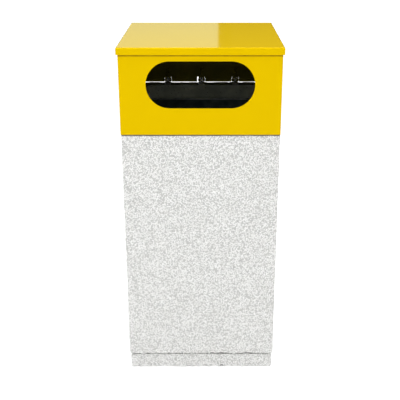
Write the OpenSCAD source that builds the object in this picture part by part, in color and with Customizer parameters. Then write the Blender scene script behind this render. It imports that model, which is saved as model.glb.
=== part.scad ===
// Litter bin: a square exposed-aggregate concrete body with a sheet-steel hood hinged at the rear,
// and a galvanised liner that lifts out.
// +Z is up and the mouth faces -Y. The origin is the centre of the underside, on the ground.

/* [Overall] */
// Width of the lid, the widest piece
bin_w = 450; // [360:5:600]
// Depth of the lid, front to back
bin_d = 450; // [360:5:600]
// Height from the ground to the lid's top face
bin_h = 995; // [850:5:1250]

/* [Lid and hood] */
// Thickness of the lid's and hood's sheet steel
sheet_t = 2; // [1.5:0.25:3]
// Outer radius of a bend in that sheet
bend_r = 3; // [3:0.5:6]
// Depth of the lid's turned-down rim
lid_rim_h = 19.5; // [12:0.5:30]
// How far the lid stands out beyond the hood on each side
lid_overhang = 4.5; // [4:0.5:12]
// From the lid's top face down to the hood's bottom edge
hood_h = 241; // [210:1:320]
// Width of the flanges turned in at the hood's top edge and rear corners
flange_w = 18; // [14:1:26]
// Gap between the rear panel and the concrete below it
rear_gap = 2; // [1.5:0.5:8]

/* [Mouth] */
// Width of the mouth, which has half-round ends
mouth_w = 295; // [220:1:330]
// Height of the mouth
mouth_h = 129; // [100:1:150]
// From the lid's top face down to the mouth's top edge
mouth_drop = 37; // [30:1:50]

/* [Concrete] */
// Height of the plinth
plinth_h = 46; // [35:1:80]
// How far the plinth is set in from the body on each side
plinth_inset = 3; // [2:0.5:15]
// Thickness of the mortar bed between the plinth and the body
mortar_t = 3; // [2:0.5:10]
// How far the mortar is raked back from the plinth's face
mortar_rake = 5; // [3:0.5:12]
// Width of the shoulder around the collar that the hood slips over
shoulder_w = 3; // [3:0.5:10]
// Height of that collar
collar_h = 51; // [30:1:60]
// Clearance between the collar and the hood around it
hood_clear = 2; // [1.5:0.25:5]
// Gap between the hood's bottom edge and the shoulder
skirt_gap = 3; // [3:0.5:8]
// Thickness of the body's walls
wall_t = 45; // [42:1:60]
// Thickness of the body's floor
floor_t = 50; // [40:1:80]
// Radius of the body's and plinth's upright edges
arris_r = 3; // [2:0.5:10]
// Radius of the drain hole through the plinth
drain_r = 15; // [8:0.5:30]

/* [Hinges] */
// Distance between the middle hinge and each outer one
hinge_pitch = 110; // [60:1:130]
// Width of a hinge
hinge_w = 20; // [16:1:30]
// Thickness of a hinge's leaves
leaf_t = 3; // [2.5:0.25:4]
// Outer radius of the knuckles
knuckle_r = 6; // [5:0.25:6]
// Radius of the hinge pins
pin_r = 3; // [2:0.25:3.5]
// Radial clearance of a pin in its knuckles
pin_clear = 0.06; // [0.03:0.01:0.1]
// Height of the hinge axis above the top of the concrete
axis_rise = 8; // [7:0.5:12]
// Distance from the rear panel's inner face forward to the hinge axis
axis_inset = 0.5; // [0.5:0.1:1]
// Space beside each hinge in its notch of the rear panel
notch_side = 2.5; // [2:0.25:6]
// Space on the left of the centre hinge in its notch
centre_notch_left = 6; // [2:0.5:8]
// Space above the knuckles in each notch
notch_top = 4; // [1.5:0.5:8]

/* [Liner] */
// Gap between the liner and the concrete on each side
liner_gap = 10.5; // [9:0.5:20]
// Thickness of the liner's sheet
liner_t = 1.5; // [1:0.25:2.5]
// Outer radius of the liner's upright corners
liner_corner_r = 30; // [15:1:60]
// From the top of the concrete down to the top of the liner
liner_drop = 40; // [30:1:80]
// Radius of the rolled rim
rim_r = 4; // [3.5:0.25:5]
// Height of the liner's base above its bottom edge
base_rise = 10; // [5:1:25]
// Thickness of the pads that the liner stands on
pad_t = 12; // [6:1:25]
// Side of a pad
pad_w = 40; // [25:1:60]

/* [Handles] */
// Radius of the handles' wire
wire_r = 3.5; // [2.5:0.25:4]
// Distance between the two arms of a handle
grip_w = 110; // [80:1:140]
// From the pivot to the grip
arm_h = 75; // [50:1:90]
// From the liner's top down to the pivots
pivot_drop = 27; // [22:1:50]
// Distance of the pivots from the liner's wall
pivot_gap = 9; // [9:0.5:14]

/* [Hidden] */
$fn = 64;

yellow = [0.92, 0.73, 0.03];
stone = [0.86, 0.86, 0.84];
mortar_grey = [0.32, 0.31, 0.29];
zinc = [0.62, 0.65, 0.67];
steel = [0.72, 0.73, 0.74];
black = [0.09, 0.09, 0.09];
nylon = [0.55, 0.56, 0.57];

// Reach of a cut past the faces that it goes through
past = 1;
// Gap between two pieces that turn side by side
side_clear = 0.3;

// Hood, from the lid inwards
hood_w = bin_w - 2 * lid_overhang;
hood_d = bin_d - 2 * lid_overhang;
hood_in_w = hood_w - 2 * sheet_t;
hood_in_d = hood_d - 2 * sheet_t;
hood_top = bin_h - sheet_t;
hood_bottom = bin_h - hood_h;
flange_z = hood_top - sheet_t;
rear_y = hood_in_d / 2;
mouth_z = bin_h - mouth_drop - mouth_h / 2;

// Concrete, from the hood down
collar_w = hood_in_w - 2 * hood_clear;
collar_d = hood_in_d - 2 * hood_clear;
body_w = collar_w + 2 * shoulder_w;
body_d = collar_d + 2 * shoulder_w;
shoulder_z = hood_bottom - skirt_gap;
collar_z = shoulder_z + collar_h;
cavity_w = body_w - 2 * wall_t;
cavity_d = body_d - 2 * wall_t;
plinth_w = body_w - 2 * plinth_inset;
plinth_d = body_d - 2 * plinth_inset;
body_z = plinth_h + mortar_t;
floor_z = body_z + floor_t;
// The body's own drain hole, wider than the plinth's
body_drain_r = drain_r + 5;
rear_z = collar_z + rear_gap;

// Hinges
hinge_xs = [-hinge_pitch, 0, hinge_pitch];
axis_y = rear_y - axis_inset;
axis_z = collar_z + axis_rise;
// Half the length of the middle knuckle, a fifth of the hinge's width
mid_knuckle = hinge_w / 5;
leaf_front = collar_d / 2 - 38;
leaf_back = axis_y - knuckle_r - side_clear;
leaf_top = axis_z + 44;
pin_head_t = 1.4;
pin_head_r = pin_r + 1.5;
screw_r = 3;
screw_head_w = 10;
screw_head_h = 4;
screw_l = 36;
screw_ys = [leaf_front + 7, leaf_front + 22];
plug_r = 4.5;
plug_l = 40;
plug_clear = 0.1;
rivet_r = 2.4;
rivet_head_r = 4.6;
rivet_head_h = 1.5;
rivet_clear = 0.1;
leaf_rivet_zs = [axis_z + 24, axis_z + 36];
seam_rivet_zs = [for (i = [0 : 3]) rear_z + 28 + i * (flange_z - rear_z - 50) / 3];

// Lid fixings, in the middle of the top flanges
stud_r = 3;
stud_l = 11;
stud_clear = 0.3;
thread_clear = 0.05;
nut_w = 10;
nut_h = 5;
washer_r = 6;
washer_t = 1;
flange_mid_w = hood_in_w / 2 - flange_w / 2;
flange_mid_d = hood_in_d / 2 - flange_w / 2;
stud_out_w = bin_w / 3;
stud_out_d = bin_d / 3.5;
stud_places = [
    for (s = [-1, 1], t = [-1, 1]) [s * stud_out_w, t * flange_mid_d],
    for (s = [-1, 1], t = [-1, 1]) [s * flange_mid_w, t * stud_out_d]
];

// Hood rests, at the front corners
rest_x = hood_in_w / 2 - 34;
rest_w = 30;
buffer_t = 4;
buffer_d = 22;
rest_z = collar_z + buffer_t + side_clear;
bracket_h = 30;
bracket_t = 3;
bracket_reach = hood_clear + wall_t - shoulder_w - 8;

// Liner
liner_w = cavity_w - 2 * liner_gap;
liner_d = cavity_d - 2 * liner_gap;
liner_z = floor_z + pad_t + side_clear;
liner_top = collar_z - liner_drop;
rim_z = liner_top - rim_r;
// How far the curl's centre line lies outside the liner's outer face
rim_out = rim_r - liner_t - 0.3;
curl_in_r = rim_r - liner_t;
rim_wire_r = curl_in_r - 0.1;
base_hole_r = 4;

// Handles and their lugs
pivot_x = liner_w / 2 - liner_t - pivot_gap;
pivot_z = liner_top - pivot_drop;
wire_bend_r = wire_r + 2.5;
ear_t = 3;
ear_r = wire_r + 3.5;
ear_y = grip_w / 2 + wire_bend_r + 2;
wire_end = ear_y + ear_t + side_clear;
wire_head_r = wire_r + 1.5;
wire_head_t = 2;
lug_t = 2;
lug_w = 24;
lug_h = 34;
lug_rivet_r = 2;
lug_rivet_head_h = 1.2;
lug_rivet_y = ear_y + lug_w * 0.65;
lug_rivet_zs = [pivot_z - lug_h / 4, pivot_z + lug_h / 4];

// A rectangle with round corners, in the middle of the XY plane
module round_rect(w, d, r) {
    square([w - 2 * r, d], center = true);
    square([w, d - 2 * r], center = true);
    for (s = [-1, 1], t = [-1, 1])
        translate([s * (w / 2 - r), t * (d / 2 - r)])
            circle(r);
}

// A block of that outline between two heights
module round_block(w, d, r, low, high) {
    translate([0, 0, low])
        linear_extrude(high - low)
            round_rect(w, d, r);
}

// A block given by its corners
module block(low, high) {
    translate(low)
        cube(high - low);
}

// A rod along X, Y or Z from a start point
module rod_x(start, r, l) {
    translate(start)
        rotate([0, 90, 0])
            cylinder(r = r, h = l);
}

module rod_y(start, r, l) {
    translate(start)
        rotate([-90, 0, 0])
            cylinder(r = r, h = l);
}

// A closed ring of round wire that follows a rectangle with round corners
module wire_ring(w, d, corner_r, r) {
    for (s = [-1, 1]) {
        rod_x([-(w / 2 - corner_r), s * d / 2, 0], r, w - 2 * corner_r);
        rod_y([s * w / 2, -(d / 2 - corner_r), 0], r, d - 2 * corner_r);
    }
    for (i = [0 : 3])
        mirror([i % 2, 0, 0])
            mirror([0, floor(i / 2), 0])
                translate([w / 2 - corner_r, d / 2 - corner_r, 0])
                    rotate_extrude(angle = 90)
                        translate([corner_r, 0])
                            circle(r);
}

// A rivet along Z with a head at each end of its grip
module rivet(grip, r, head_r, head_h) {
    cylinder(r = r, h = grip);
    translate([0, 0, grip])
        cylinder(r1 = head_r, r2 = head_r * 0.6, h = head_h);
    mirror([0, 0, 1])
        cylinder(r1 = head_r, r2 = head_r * 0.6, h = head_h);
}

module base_plinth() {
    color(stone)
        difference() {
            round_block(plinth_w, plinth_d, arris_r, 0, plinth_h);
            translate([0, 0, -past])
                cylinder(r = drain_r, h = plinth_h + 2 * past);
        }
}

module mortar_bed() {
    color(mortar_grey)
        difference() {
            round_block(plinth_w - 2 * mortar_rake, plinth_d - 2 * mortar_rake, arris_r,
                plinth_h, body_z);
            translate([0, 0, plinth_h - past])
                cylinder(r = body_drain_r, h = mortar_t + 2 * past);
        }
}

// Body with its floor, the shoulder and the collar, and a hole for each anchor plug
module concrete_body() {
    color(stone)
        difference() {
            union() {
                round_block(body_w, body_d, arris_r, body_z, shoulder_z);
                round_block(collar_w, collar_d, arris_r, shoulder_z, collar_z);
            }
            round_block(cavity_w, cavity_d, liner_corner_r / 2, floor_z, collar_z + past);
            translate([0, 0, body_z - past])
                cylinder(r = body_drain_r, h = floor_t + 2 * past);
            for (x = hinge_xs, y = screw_ys)
                translate([x, y, collar_z - plug_l])
                    cylinder(r = plug_r + plug_clear, h = plug_l + past);
        }
}

// Pads on the floor under the liner's corners
module liner_pads() {
    pad_x = liner_w / 2 + liner_gap / 2 - pad_w / 2;
    pad_y = liner_d / 2 + liner_gap / 2 - pad_w / 2;
    color(black)
        for (s = [-1, 1], t = [-1, 1])
            translate([s * pad_x, t * pad_y, 0])
                round_block(pad_w, pad_w, 4, floor_z, floor_z + pad_t);
}

// Rubber buffers on the collar that the hood comes down on
module rest_buffers() {
    color(black)
        for (s = [-1, 1])
            translate([s * rest_x, -collar_d / 2 + 4 + buffer_d / 2, 0])
                round_block(rest_w - 4, buffer_d, 3, collar_z, collar_z + buffer_t);
}

// Plugs in the concrete that the screws of the fixed leaves bite into
module anchor_plugs() {
    color(nylon)
        for (x = hinge_xs, y = screw_ys)
            translate([x, y, collar_z - plug_l])
                difference() {
                    cylinder(r = plug_r, h = plug_l);
                    translate([0, 0, 3])
                        cylinder(r = screw_r + plug_clear, h = plug_l);
                }
}

module leaf_screws() {
    color(steel)
        for (x = hinge_xs, y = screw_ys)
            translate([x, y, collar_z + leaf_t]) {
                cylinder(r = screw_head_w / sqrt(3), h = screw_head_h, $fn = 6);
                translate([0, 0, -screw_l])
                    cylinder(r = screw_r, h = screw_l + past);
            }
}

// Leaf screwed down on the collar, with the middle knuckle at its rear end
module fixed_leaf(x) {
    color(steel)
        translate([x, 0, 0])
            difference() {
                union() {
                    block([-hinge_w / 2, leaf_front, collar_z],
                        [hinge_w / 2, leaf_back, collar_z + leaf_t]);
                    block([-mid_knuckle, leaf_back - leaf_t, collar_z],
                        [mid_knuckle, axis_y, axis_z]);
                    rod_x([-mid_knuckle, axis_y, axis_z], knuckle_r, 2 * mid_knuckle);
                }
                rod_x([-hinge_w, axis_y, axis_z], pin_r + pin_clear, 2 * hinge_w);
                for (y = screw_ys)
                    translate([0, y, collar_z - past])
                        cylinder(r = screw_r + stud_clear, h = leaf_t + 2 * past);
            }
}

module fixed_leaf_left() {
    fixed_leaf(-hinge_pitch);
}

module fixed_leaf_centre() {
    fixed_leaf(0);
}

module fixed_leaf_right() {
    fixed_leaf(hinge_pitch);
}

// Headed pins through the three knuckles of each hinge
module hinge_pins() {
    head_x = hinge_w / 2 + side_clear;
    color(steel)
        for (x = hinge_xs)
            translate([x, 0, 0]) {
                rod_x([-head_x, axis_y, axis_z], pin_r, 2 * head_x);
                rod_x([-head_x - pin_head_t, axis_y, axis_z], pin_head_r, pin_head_t);
                rod_x([head_x, axis_y, axis_z], pin_head_r, pin_head_t);
            }
}

// Leaf riveted inside the rear panel, with the two outer knuckles at its lower end
module hood_leaf(x) {
    outer_l = hinge_w / 2 - mid_knuckle - side_clear;
    color(yellow)
        translate([x, 0, 0])
            difference() {
                union() {
                    block([-hinge_w / 2, rear_y - leaf_t, axis_z], [hinge_w / 2, rear_y, leaf_top]);
                    for (start = [-hinge_w / 2, hinge_w / 2 - outer_l])
                        rod_x([start, axis_y, axis_z], knuckle_r, outer_l);
                }
                block([-mid_knuckle - side_clear, axis_y - hinge_w, axis_z - hinge_w],
                    [mid_knuckle + side_clear, axis_y + hinge_w, axis_z + knuckle_r + 2 * side_clear]);
                rod_x([-hinge_w, axis_y, axis_z], pin_r + pin_clear, 2 * hinge_w);
                for (z = leaf_rivet_zs)
                    rod_y([0, rear_y - leaf_t - past, z], rivet_r + rivet_clear, leaf_t + 2 * past);
            }
}

module hood_leaf_left() {
    hood_leaf(-hinge_pitch);
}

module hood_leaf_centre() {
    hood_leaf(0);
}

module hood_leaf_right() {
    hood_leaf(hinge_pitch);
}

module leaf_rivets() {
    color(yellow)
        for (x = hinge_xs, z = leaf_rivet_zs)
            translate([x, rear_y - leaf_t, z])
                rotate([-90, 0, 0])
                    rivet(leaf_t + sheet_t, rivet_r, rivet_head_r, rivet_head_h);
}

// The mouth's outline, standing in the XZ plane and cut along Y
module mouth_cut() {
    end_x = (mouth_w - mouth_h) / 2;
    translate([0, -hood_d / 2 - past, mouth_z])
        rotate([-90, 0, 0])
            linear_extrude(sheet_t + bend_r + 2 * past) {
                square([2 * end_x, mouth_h], center = true);
                for (s = [-1, 1])
                    translate([s * end_x, 0])
                        circle(mouth_h / 2);
            }
}

// Front and both sides in one folded sheet, with flanges turned in at the top and rear corners
module hood_wrap() {
    wrap_d = (hood_d + hood_in_d) / 2;
    wrap_y = -sheet_t / 2;
    side_flange_end = rear_y - flange_w - bend_r;
    color(yellow)
        difference() {
            union() {
                translate([0, wrap_y, 0])
                    difference() {
                        round_block(hood_w, wrap_d, bend_r, hood_bottom, hood_top);
                        round_block(hood_in_w, wrap_d - 2 * sheet_t, bend_r - sheet_t,
                            hood_bottom - past, hood_top + past);
                    }
                difference() {
                    block([-hood_in_w / 2 - sheet_t / 2, -hood_in_d / 2 - sheet_t / 2, flange_z],
                        [hood_in_w / 2 + sheet_t / 2, side_flange_end, hood_top]);
                    block([-hood_in_w / 2 + flange_w, -hood_in_d / 2 + flange_w, flange_z - past],
                        [hood_in_w / 2 - flange_w, side_flange_end + past, hood_top + past]);
                }
            }
            mouth_cut();
            block([-hood_in_w / 2 + flange_w, rear_y - flange_w, hood_bottom - past],
                [hood_in_w / 2 - flange_w, rear_y + past, hood_top + past]);
            block([-hood_in_w / 2, rear_y - flange_w, hood_bottom - past],
                [hood_in_w / 2, rear_y + past, rear_z]);
            block([-hood_in_w / 2, rear_y - flange_w, flange_z - side_clear],
                [hood_in_w / 2, rear_y + past, hood_top + past]);
            for (p = stud_places)
                translate([p[0], p[1], flange_z - past])
                    cylinder(r = stud_r + stud_clear, h = sheet_t + 2 * past);
            for (s = [-1, 1], z = seam_rivet_zs)
                rod_y([s * flange_mid_w, rear_y - sheet_t - past, z], rivet_r + rivet_clear,
                    sheet_t + 2 * past);
        }
}

// Rear sheet lapped over the rear flanges, with a notch at each hinge and its own top flange
module rear_panel() {
    color(yellow)
        difference() {
            union() {
                block([-hood_w / 2, rear_y, rear_z], [hood_w / 2, rear_y + sheet_t, hood_top]);
                block([-hood_in_w / 2 + bend_r, rear_y - flange_w, flange_z],
                    [hood_in_w / 2 - bend_r, rear_y + sheet_t / 2, hood_top]);
            }
            for (x = hinge_xs) {
                left = x == 0 ? centre_notch_left : notch_side;
                block([x - hinge_w / 2 - left, rear_y - past, rear_z - past],
                    [x + hinge_w / 2 + notch_side, rear_y + sheet_t + past,
                        axis_z + knuckle_r + notch_top]);
            }
            for (x = hinge_xs, z = leaf_rivet_zs)
                rod_y([x, rear_y - past, z], rivet_r + rivet_clear, sheet_t + 2 * past);
            for (s = [-1, 1], z = seam_rivet_zs)
                rod_y([s * flange_mid_w, rear_y - past, z], rivet_r + rivet_clear,
                    sheet_t + 2 * past);
            for (p = stud_places)
                translate([p[0], p[1], flange_z - past])
                    cylinder(r = stud_r + stud_clear, h = sheet_t + 2 * past);
        }
}

module seam_rivets() {
    color(yellow)
        for (s = [-1, 1], z = seam_rivet_zs)
            translate([s * flange_mid_w, rear_y - sheet_t, z])
                rotate([-90, 0, 0])
                    rivet(2 * sheet_t, rivet_r, rivet_head_r, rivet_head_h);
}

// Flat lid with its rim turned down all round
module lid_cap() {
    color(yellow)
        difference() {
            round_block(bin_w, bin_d, bend_r, bin_h - lid_rim_h, bin_h);
            round_block(bin_w - 2 * sheet_t, bin_d - 2 * sheet_t, bend_r - sheet_t,
                bin_h - lid_rim_h - past, hood_top);
        }
}

// Studs welded under the lid, which pass through the hood's top flanges
module lid_studs() {
    color(steel)
        for (p = stud_places)
            translate([p[0], p[1], hood_top - stud_l])
                cylinder(r = stud_r, h = stud_l);
}

module lid_washers() {
    color(steel)
        for (p = stud_places)
            translate([p[0], p[1], flange_z - washer_t])
                difference() {
                    cylinder(r = washer_r, h = washer_t);
                    translate([0, 0, -past])
                        cylinder(r = stud_r + stud_clear, h = washer_t + 2 * past);
                }
}

module lid_nuts() {
    color(steel)
        for (p = stud_places)
            translate([p[0], p[1], flange_z - washer_t - nut_h])
                difference() {
                    cylinder(r = nut_w / sqrt(3), h = nut_h, $fn = 6);
                    translate([0, 0, -past])
                        cylinder(r = stud_r + thread_clear, h = nut_h + 2 * past);
                }
}

// Angle welded inside the front sheet, which comes down on the buffer
module rest_bracket(side) {
    front_y = -hood_in_d / 2;
    x = side * rest_x;
    color(yellow) {
        block([x - rest_w / 2, front_y, rest_z],
            [x + rest_w / 2, front_y + bracket_t, rest_z + bracket_h]);
        block([x - rest_w / 2, front_y, rest_z],
            [x + rest_w / 2, front_y + bracket_reach, rest_z + bracket_t]);
    }
}

module rest_bracket_left() {
    rest_bracket(-1);
}

module rest_bracket_right() {
    rest_bracket(1);
}

// Walls of the liner, rolled at the top into a hollow rim
module liner_shell() {
    ring_w = liner_w + 2 * rim_out;
    ring_d = liner_d + 2 * rim_out;
    color(zinc)
        difference() {
            union() {
                difference() {
                    round_block(liner_w, liner_d, liner_corner_r, liner_z, rim_z);
                    round_block(liner_w - 2 * liner_t, liner_d - 2 * liner_t,
                        liner_corner_r - liner_t, liner_z - past, rim_z + past);
                }
                translate([0, 0, rim_z])
                    wire_ring(ring_w, ring_d, liner_corner_r + rim_out, rim_r);
            }
            translate([0, 0, rim_z])
                wire_ring(ring_w, ring_d, liner_corner_r + rim_out, curl_in_r);
            for (s = [-1, 1], z = lug_rivet_zs)
                rod_x([-liner_w / 2 - past, s * lug_rivet_y, z], lug_rivet_r + rivet_clear,
                    liner_w + 2 * past);
        }
}

// Wire that the rim is rolled around
module rim_wire() {
    color(zinc)
        translate([0, 0, rim_z])
            wire_ring(liner_w + 2 * rim_out, liner_d + 2 * rim_out, liner_corner_r + rim_out,
                rim_wire_r);
}

// Base of the liner, above its bottom edge, with drain holes
module liner_base() {
    hole_out = liner_w / 4;
    color(zinc)
        difference() {
            round_block(liner_w - 2 * liner_t, liner_d - 2 * liner_t, liner_corner_r - liner_t,
                liner_z + base_rise, liner_z + base_rise + liner_t);
            for (s = [-1, 1], t = [-1, 1])
                translate([s * hole_out, t * hole_out, liner_z])
                    cylinder(r = base_hole_r, h = base_rise + liner_t + past);
        }
}

// Two lugs on the liner's right wall, each a plate with an ear that a handle's end turns in
module lug_pair() {
    wall_x = liner_w / 2 - liner_t;
    color(zinc)
        for (t = [-1, 1])
            mirror([0, (1 - t) / 2, 0])
                difference() {
                    union() {
                        block([wall_x - lug_t, ear_y, pivot_z - lug_h / 2],
                            [wall_x, ear_y + lug_w, pivot_z + lug_h / 2]);
                        block([pivot_x, ear_y, pivot_z - ear_r],
                            [wall_x - lug_t / 2, ear_y + ear_t, pivot_z + ear_r]);
                        rod_y([pivot_x, ear_y, pivot_z], ear_r, ear_t);
                    }
                    rod_y([pivot_x, ear_y - past, pivot_z], wire_r + pin_clear, ear_t + 2 * past);
                    for (z = lug_rivet_zs)
                        rod_x([wall_x - lug_t - past, lug_rivet_y, z],
                            lug_rivet_r + rivet_clear, lug_t + 2 * past);
                }
}

module lugs_left() {
    mirror([1, 0, 0])
        lug_pair();
}

module lugs_right() {
    lug_pair();
}

// Rivets through the lugs' plates and the liner's walls
module lug_rivets() {
    color(zinc)
        for (m = [0, 1], t = [-1, 1], z = lug_rivet_zs)
            mirror([m, 0, 0])
                translate([liner_w / 2 - liner_t - lug_t, t * lug_rivet_y, z])
                    rotate([0, 90, 0])
                        rivet(lug_t + liner_t, lug_rivet_r, 2 * lug_rivet_r, lug_rivet_head_h);
}

// Half of a drop handle as it hangs on the liner's right wall, with its end turned out to +Y
module handle_half() {
    arm_y = grip_w / 2;
    bend_y = arm_y - wire_bend_r;
    rod_y([0, -past / 2, -arm_h], wire_r, bend_y + past / 2);
    translate([0, bend_y, -arm_h + wire_bend_r])
        rotate([0, 90, 0])
            rotate_extrude(angle = 90)
                translate([wire_bend_r, 0])
                    circle(wire_r);
    translate([0, arm_y, -arm_h + wire_bend_r])
        cylinder(r = wire_r, h = arm_h - 2 * wire_bend_r);
    translate([0, arm_y + wire_bend_r, -wire_bend_r])
        rotate([0, -90, 0])
            mirror([0, 1, 0])
                rotate_extrude(angle = 90)
                    translate([wire_bend_r, 0])
                        circle(wire_r);
    rod_y([0, arm_y + wire_bend_r, 0], wire_r, wire_end - arm_y - wire_bend_r);
    rod_y([0, wire_end, 0], wire_head_r, wire_head_t);
}

module drop_handle() {
    color(steel)
        translate([pivot_x, 0, pivot_z]) {
            handle_half();
            mirror([0, 1, 0])
                handle_half();
        }
}

module handle_left() {
    mirror([1, 0, 0])
        drop_handle();
}

module handle_right() {
    drop_handle();
}

base_plinth();
mortar_bed();
concrete_body();
liner_pads();
rest_buffers();
anchor_plugs();
leaf_screws();
fixed_leaf_left();
fixed_leaf_centre();
fixed_leaf_right();
hinge_pins();
hood_leaf_left();
hood_leaf_centre();
hood_leaf_right();
leaf_rivets();
hood_wrap();
rear_panel();
seam_rivets();
lid_cap();
lid_studs();
lid_washers();
lid_nuts();
rest_bracket_left();
rest_bracket_right();
liner_shell();
rim_wire();
liner_base();
lugs_left();
lugs_right();
lug_rivets();
handle_left();
handle_right();
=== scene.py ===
"""Looks of a concrete litter bin: rough aggregate, gloss yellow sheet steel and a galvanised liner.

All lengths are in metres. Places are worked out from the CAD nodes' boxes.
"""

import math

import bpy
import numpy as np
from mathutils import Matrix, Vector


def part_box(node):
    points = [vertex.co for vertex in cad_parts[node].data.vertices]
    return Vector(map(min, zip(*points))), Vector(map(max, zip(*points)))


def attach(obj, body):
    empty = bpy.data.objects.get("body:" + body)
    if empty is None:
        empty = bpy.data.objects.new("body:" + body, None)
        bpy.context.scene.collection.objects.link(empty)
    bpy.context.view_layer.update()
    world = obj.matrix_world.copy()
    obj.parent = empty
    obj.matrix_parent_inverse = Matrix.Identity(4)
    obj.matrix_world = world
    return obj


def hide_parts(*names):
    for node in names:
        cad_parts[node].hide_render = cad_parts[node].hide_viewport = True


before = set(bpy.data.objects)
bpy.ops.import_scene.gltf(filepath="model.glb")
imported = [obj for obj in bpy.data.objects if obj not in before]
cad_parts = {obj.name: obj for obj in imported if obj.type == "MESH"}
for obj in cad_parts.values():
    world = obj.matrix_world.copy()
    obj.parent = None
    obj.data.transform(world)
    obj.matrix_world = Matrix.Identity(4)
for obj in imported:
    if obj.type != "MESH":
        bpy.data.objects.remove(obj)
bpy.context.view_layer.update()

MM = 0.001
SHEET = 2 * MM
LINER_SHEET = 1.5 * MM
PANEL_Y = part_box("rear_panel")[1].y
LID_EDGE_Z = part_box("lid_cap")[0].z
HOOD_FOOT_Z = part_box("hood_wrap")[0].z


# ---------------------------------------------------------------- shader expressions


class Socket:
    """A node's output. Maths on it adds Math nodes."""

    def __init__(self, graph, out):
        self.graph = graph
        self.out = out

    def maths(self, operation, a, b):
        return self.graph.node("ShaderNodeMath", {"operation": operation}, {0: a, 1: b})

    def __add__(self, other):
        return self.maths("ADD", self, other)

    def __radd__(self, other):
        return self.maths("ADD", other, self)

    def __sub__(self, other):
        return self.maths("SUBTRACT", self, other)

    def __rsub__(self, other):
        return self.maths("SUBTRACT", other, self)

    def __mul__(self, other):
        return self.maths("MULTIPLY", self, other)

    def __rmul__(self, other):
        return self.maths("MULTIPLY", other, self)

    def above(self, edge, width):
        """0 below edge, 1 above edge + width, and a smooth rise between them."""
        settings = {"interpolation_type": "SMOOTHSTEP"}
        values = {"Value": self, "From Min": edge, "From Max": edge + width}
        return self.graph.node("ShaderNodeMapRange", settings, values)


class Graph:
    """A material's or world's node tree."""

    def __init__(self, tree):
        self.tree = tree
        tree.nodes.clear()

    def node(self, kind, settings=None, values=None, out=0):
        """A new node with its settings made first, then its sockets' values or links."""
        made = self.tree.nodes.new(kind)
        for name, value in (settings or {}).items():
            if name == "stops":
                self.set_stops(made.color_ramp, value)
            else:
                setattr(made, name, value)
        for name, value in (values or {}).items():
            if isinstance(value, Socket):
                self.tree.links.new(value.out, made.inputs[name])
            else:
                made.inputs[name].default_value = value
        return Socket(self, made.outputs[out]) if made.outputs else made

    def set_stops(self, ramp, stops):
        while len(ramp.elements) < len(stops):
            ramp.elements.new(0.5)
        for element, (place, colour) in zip(ramp.elements, stops):
            element.position = place
            element.color = (*colour, 1)

    def mix(self, share, a, b):
        """Colour a where share is 0 and b where it is 1."""
        values = {0: share}
        for index, colour in ((6, a), (7, b)):
            values[index] = colour if isinstance(colour, Socket) else (*colour, 1)
        return self.node("ShaderNodeMix", {"data_type": "RGBA"}, values, out=2)

    def place(self):
        """Where a point lies on its piece, in metres."""
        return self.node("ShaderNodeTexCoord", out=3)

    def noise(self, size, detail=2, roughness=0.5):
        """Soft lumps about size across."""
        values = {"Vector": self.place(), "Scale": 1 / size}
        values.update({"Detail": detail, "Roughness": roughness})
        return self.node("ShaderNodeTexNoise", {}, values)

    def cells(self, size, out=0):
        """Grains about size across: distance from a grain's middle, or with out=1 its colour."""
        values = {"Vector": self.place(), "Scale": 1 / size}
        return self.node("ShaderNodeTexVoronoi", {"feature": "F1"}, values, out=out)

    def bump(self, height, depth, strength):
        """A normal that follows a height."""
        values = {"Height": height, "Distance": depth, "Strength": strength}
        return self.node("ShaderNodeBump", {}, values)


def finish_material(name, build):
    """A material whose Principled sockets are what build(graph) returns."""
    made = bpy.data.materials.new(name)
    made.use_nodes = True
    graph = Graph(made.node_tree)
    shader = graph.node("ShaderNodeBsdfPrincipled", {}, build(graph))
    graph.node("ShaderNodeOutputMaterial", {}, {"Surface": shader})
    return made


# ---------------------------------------------------------------- materials


def exposed_aggregate(graph):
    """White stone chips of 2 to 5 mm washed free of a pale cement; the grey between the chips is
    partly cement and partly painted shade.
    """
    chip = graph.cells(3.6 * MM)
    tone = graph.node("ShaderNodeSeparateColor", {}, {"Color": graph.cells(3.6 * MM, out=1)})
    fine = graph.noise(1.4 * MM, detail=3, roughness=0.7)
    cloud = graph.noise(60 * MM, detail=4, roughness=0.6)
    white = graph.mix(tone, (0.82, 0.82, 0.80), (0.985, 0.985, 0.975))
    # The grey between the chips is cement, darkened further as painted shade in the hollows.
    gap = chip.above(0.42, 0.26)
    stone = graph.mix(gap * 0.68, white, (0.40, 0.40, 0.385))
    dark_chip = tone.above(0.955, 0.01) * (1 - gap)
    stone = graph.mix(dark_chip * 0.7, stone, (0.25, 0.25, 0.24))
    stone = graph.mix(cloud.above(0.35, 0.4) * 0.08, stone, (0.62, 0.61, 0.57))
    stone = graph.mix(fine.above(0.56, 0.16) * 0.3, stone, (0.46, 0.455, 0.43))
    height = (1 - chip) + fine * 0.6
    return {
        "Base Color": stone,
        "Roughness": 0.82 + fine * 0.15,
        "Normal": graph.bump(height, 1.2 * MM, 0.8),
    }


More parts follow.
